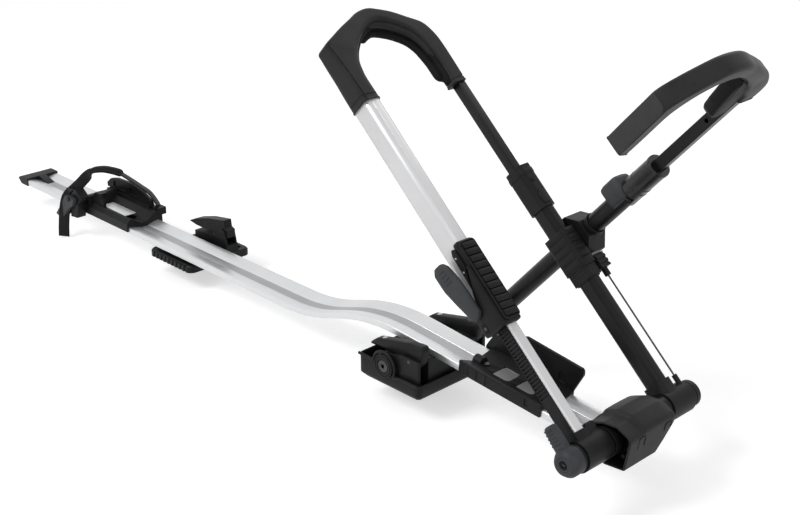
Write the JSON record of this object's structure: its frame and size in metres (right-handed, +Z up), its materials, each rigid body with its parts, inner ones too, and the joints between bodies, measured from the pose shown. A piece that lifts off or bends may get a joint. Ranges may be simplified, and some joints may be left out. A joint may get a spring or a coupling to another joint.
{
  "type": "roof mounted bike carrier",
  "caption": "Roof mounted bike carrier: wheel tray with folding ratcheted hoop, swinging hook arm, rear wheel strap holder, front foot and sliding rear crossbar bracket.",
  "frame": {"origin": "centre of the front foot's underside, where it seats on the front crossbar", "axes": "+X forward along the tray to the hinge hub, +Y to the far side, +Z up"},
  "size_m": [1.7149, 0.2913, 0.6472],
  "materials": {
    "tray_silver": "satin anodised, drawn lengthwise",
    "tube_silver": "bright satin anodised",
    "black_tube": "satin black powder coat",
    "dark_plastic": "fine grained moulding",
    "charcoal_plastic": "fine grained moulding",
    "grey_plastic": "satin moulding",
    "black_gloss": "glossy moulding",
    "soft_black": "soft grained pad",
    "bolt_steel": "plated steel",
    "dark_steel": "blackened steel",
    "bush_plastic": "plain bearing plastic"
  },
  "bodies": {
    "carrier_frame": {"tray_extrusion": "tray_silver", "rear_end_cap": "dark_plastic", "foot_rubber_pad": "soft_black", "foot_base": "dark_plastic", "foot_saddle": "dark_plastic", "clamp_lever_pins": "bolt_steel", "front_cradle": "dark_plastic", "cradle_wing": "dark_plastic", "cradle_screws": "dark_steel", "hinge_housing": "dark_plastic", "hub_bushes": "bush_plastic", "hinge_cover": "charcoal_plastic"},
    "foot_clamp_bolt": {"foot_bolt": "dark_steel"},
    "near_clamp": {"near_clamp_lever": "dark_plastic"},
    "far_clamp": {"far_clamp_lever": "dark_plastic"},
    "hoop_base": {"hub_tube": "black_tube", "near_rail": "tube_silver", "rack_strip": "dark_plastic", "near_leg_socket": "dark_plastic", "far_leg_socket": "dark_plastic", "far_lower_tube": "black_tube", "far_sleeve": "dark_plastic", "far_hub_cap": "dark_plastic", "guide_rod": "dark_steel"},
    "lock_handle": {"lock_lever": "grey_plastic"},
    "lock_plug": {"lock_cylinder": "grey_plastic"},
    "hoop_upper": {"near_upper_tube": "tube_silver", "hoop_casing": "charcoal_plastic", "hoop_pad": "soft_black", "far_thin_tube": "black_tube", "ratchet_body": "dark_plastic", "ratchet_grip": "dark_plastic", "release_pin": "dark_steel"},
    "release_handle": {"release_lever": "grey_plastic"},
    "arm_carriage": {"carriage": "dark_plastic", "pivot_boss": "dark_plastic"},
    "arm_outer": {"pivot_block": "dark_plastic", "arm_tube": "black_tube", "arm_end_cap": "dark_plastic", "arm_collar": "dark_plastic", "arm_sleeve": "black_gloss"},
    "arm_button": {"size_button": "grey_plastic"},
    "arm_inner": {"arm_thin_tube": "black_tube", "hook_casing": "charcoal_plastic", "hook_pad": "soft_black"},
    "wheel_holder": {"holder_base": "dark_plastic", "holder_wall": "dark_plastic", "holder_strap": "dark_plastic", "strap_pad": "soft_black", "buckle_block": "dark_plastic"},
    "buckle_handle": {"buckle_lever": "grey_plastic"},
    "rear_bracket": {"bracket_plate": "dark_plastic", "bracket_tower": "dark_plastic"},
    "rear_clamp": {"rear_clamp_lever": "dark_plastic"}
  },
  "joints": [
    {"name": "hoop_fold", "type": "hinge", "parent": "carrier_frame", "child": "hoop_base", "pos_m": [0.398, 0, 0.063], "axis": [0, 1, 0], "range_deg": [-40, 57]},
    {"name": "lock_lever_turn", "type": "hinge", "parent": "hoop_base", "child": "lock_handle", "pos_m": [0.398, 0, 0.063], "axis": [0, 1, 0], "range_deg": [-60, 0]},
    {"name": "lock_key_turn", "type": "hinge", "parent": "lock_handle", "child": "lock_plug", "pos_m": [0.398, 0, 0.063], "axis": [0, 1, 0], "range_deg": [0, 90]},
    {"name": "hoop_reach", "type": "slide", "parent": "hoop_base", "child": "hoop_upper", "axis": [-0.7361, 0, 0.6769], "range_m": [-0.09, 0.05]},
    {"name": "ratchet_release", "type": "hinge", "parent": "hoop_upper", "child": "release_handle", "pos_m": [0.22649, -0.124, 0.22071], "axis": [0.6769, 0, 0.7361], "range_deg": [-4, 0], "stiffness_Nm_per_rad": 2, "springref_deg": 1.15},
    {"name": "carriage_slide", "type": "slide", "parent": "hoop_base", "child": "arm_carriage", "axis": [-0.7361, 0, 0.6769], "range_m": [-0.025, 0.005]},
    {"name": "arm_swing", "type": "hinge", "parent": "arm_carriage", "child": "arm_outer", "pos_m": [0.19484, 0, 0.24982], "axis": [0, 1, 0], "range_deg": [-60, 30]},
    {"name": "size_button_press", "type": "slide", "parent": "arm_outer", "child": "arm_button", "axis": [0.7443, 0, -0.6678], "range_m": [0, 0.003], "stiffness_N_per_m": 800, "springref_m": -0.001},
    {"name": "arm_reach", "type": "slide", "parent": "arm_outer", "child": "arm_inner", "axis": [0.6678, 0, 0.7443], "range_m": [-0.12, 0.04]},
    {"name": "near_clamp_swing", "type": "hinge", "parent": "carrier_frame", "child": "near_clamp", "pos_m": [0.042, 0, 0.058], "axis": [0, 1, 0], "range_deg": [0, 100]},
    {"name": "far_clamp_swing", "type": "hinge", "parent": "carrier_frame", "child": "far_clamp", "pos_m": [0.042, 0, 0.058], "axis": [0, 1, 0], "range_deg": [0, 100]},
    {"name": "foot_bolt_turn", "type": "hinge", "parent": "carrier_frame", "child": "foot_clamp_bolt", "pos_m": [-0.006, 0, 0.036], "axis": [0, 1, 0], "continuous": true},
    {"name": "wheel_holder_slide", "type": "slide", "parent": "carrier_frame", "child": "wheel_holder", "axis": [1, 0, 0], "range_m": [-0.12, 0.03]},
    {"name": "buckle_swing", "type": "hinge", "parent": "wheel_holder", "child": "buckle_handle", "pos_m": [-0.938, 0, 0.056], "axis": [0, 1, 0], "range_deg": [0, 50]},
    {"name": "rear_bracket_slide", "type": "slide", "parent": "carrier_frame", "child": "rear_bracket", "axis": [1, 0, 0], "range_m": [-0.04, 0.15]},
    {"name": "rear_clamp_swing", "type": "hinge", "parent": "rear_bracket", "child": "rear_clamp", "pos_m": [-0.59, 0, 0.05], "axis": [0, 1, 0], "range_deg": [0, 100]}
  ]
}
